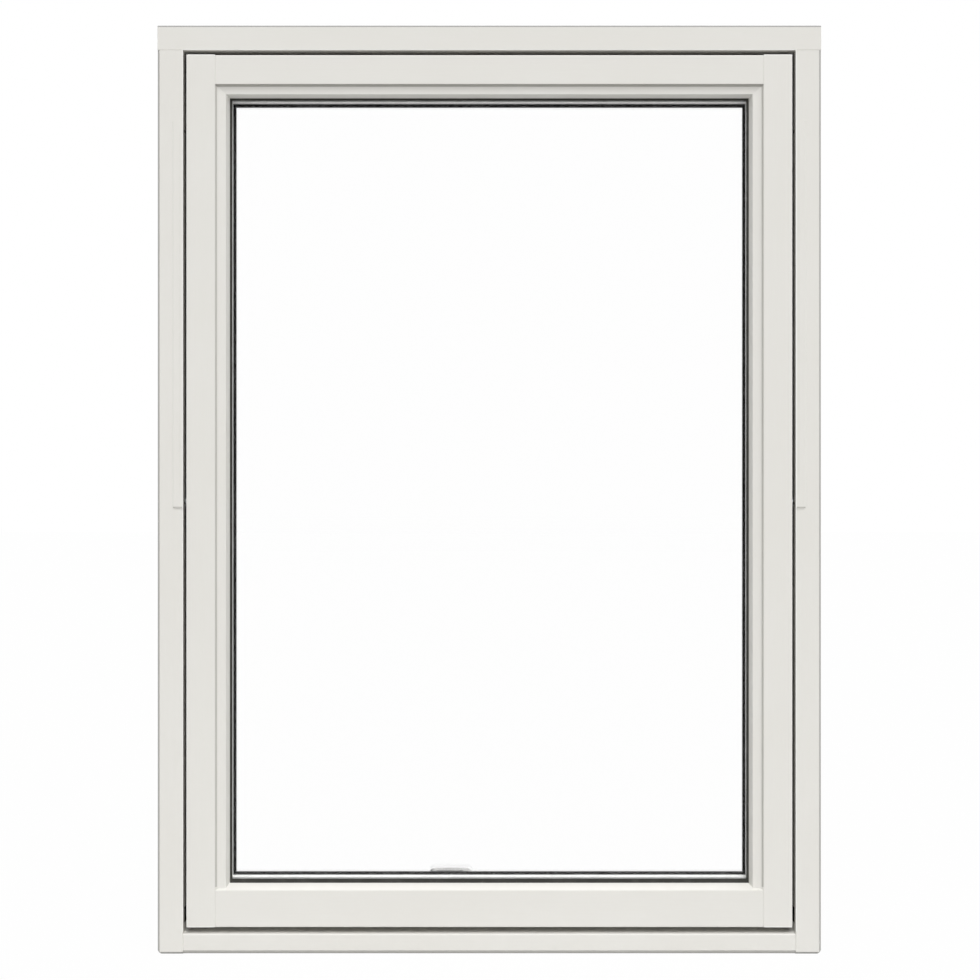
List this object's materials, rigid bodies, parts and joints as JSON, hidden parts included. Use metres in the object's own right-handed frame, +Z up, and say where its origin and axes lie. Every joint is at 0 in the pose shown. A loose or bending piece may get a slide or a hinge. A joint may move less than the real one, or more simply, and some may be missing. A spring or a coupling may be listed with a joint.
{
  "type": "top-swing pivot window",
  "caption": "Painted timber pivot window: a double-glazed sash swings out on side arms and sliding shoes, with an inside lever.",
  "frame": {"origin": "middle of the frame's underside, half way between its outer and inner faces", "axes": "+Z up, +X to the right seen from outside, -Y out of the building and +Y into the room"},
  "size_m": [0.992, 0.106, 1.388],
  "materials": {
    "painted_timber": "satin off-white paint",
    "black_rubber": "matt",
    "seal_rubber": "matt",
    "sealant": "matt",
    "spacer_aluminium": "mill",
    "track_aluminium": "mill",
    "zinc_steel": "zinc plated",
    "nylon": "moulded",
    "clear_glass": "float glass",
    "satin_chrome": "satin"
  },
  "bodies": {
    "frame": {"frame_head": "painted_timber", "frame_left_jamb": "painted_timber", "frame_right_jamb": "painted_timber", "frame_sill": "painted_timber", "frame_weather_seals": "seal_rubber", "left_cover_strip": "painted_timber", "left_shoe_track": "track_aluminium", "left_jamb_pivot": "zinc_steel", "left_lock_keep": "zinc_steel", "right_cover_strip": "painted_timber", "right_shoe_track": "track_aluminium", "right_jamb_pivot": "zinc_steel", "right_lock_keep": "zinc_steel"},
    "left_arm": {"left_arm": "zinc_steel"},
    "right_arm": {"right_arm": "zinc_steel"},
    "sash": {"sash_left_stile": "painted_timber", "sash_right_stile": "painted_timber", "sash_top_rail": "painted_timber", "sash_bottom_rail": "painted_timber", "top_glazing_bead": "painted_timber", "bottom_glazing_bead": "painted_timber", "left_glazing_bead": "painted_timber", "right_glazing_bead": "painted_timber", "outer_glazing_gasket": "black_rubber", "inner_glazing_tape": "black_rubber", "glass_edge_seal": "sealant", "glass_spacer": "spacer_aluminium", "glass_setting_blocks": "nylon", "outer_pane": "clear_glass", "inner_pane": "clear_glass", "handle_rose": "satin_chrome", "left_sash_pivot": "zinc_steel", "left_shoe_plate": "zinc_steel", "left_lock_faceplate": "zinc_steel", "right_sash_pivot": "zinc_steel", "right_shoe_plate": "zinc_steel", "right_lock_faceplate": "zinc_steel"},
    "left_shoe": {"left_track_shoe": "nylon"},
    "right_shoe": {"right_track_shoe": "nylon"},
    "handle": {"handle_lever": "satin_chrome"}
  },
  "joints": [
    {"name": "left_arm_swing", "type": "hinge", "parent": "frame", "child": "left_arm", "pos_m": [-0.448, -0.0185, 0.674], "axis": [1, 0, 0], "range_deg": [0, 80]},
    {"name": "sash_turn", "type": "hinge", "parent": "left_arm", "child": "sash", "pos_m": [-0.448, -0.0185, 1.00325], "axis": [1, 0, 0], "range_deg": [-160, 0]},
    {"name": "left_shoe_turn", "type": "hinge", "parent": "sash", "child": "left_shoe", "pos_m": [-0.464, -0.0185, 1.3325], "axis": [1, 0, 0], "range_deg": [0, 80]},
    {"name": "right_shoe_turn", "type": "hinge", "parent": "sash", "child": "right_shoe", "pos_m": [0.464, -0.0185, 1.3325], "axis": [1, 0, 0], "range_deg": [0, 80]},
    {"name": "right_arm_swing", "type": "hinge", "parent": "frame", "child": "right_arm", "pos_m": [0.448, -0.0185, 0.674], "axis": [1, 0, 0], "range_deg": [0, 80]},
    {"name": "handle_turn", "type": "hinge", "parent": "sash", "child": "handle", "pos_m": [0, 0.045, 0.091], "axis": [0, 1, 0], "range_deg": [0, 90]}
  ],
  "couplings": [
    {"joint": "sash_turn", "follows": "left_arm_swing", "ratio": -2},
    {"joint": "left_shoe_turn", "follows": "left_arm_swing", "ratio": 1},
    {"joint": "right_shoe_turn", "follows": "left_arm_swing", "ratio": 1},
    {"joint": "right_arm_swing", "follows": "left_arm_swing", "ratio": 1}
  ]
}
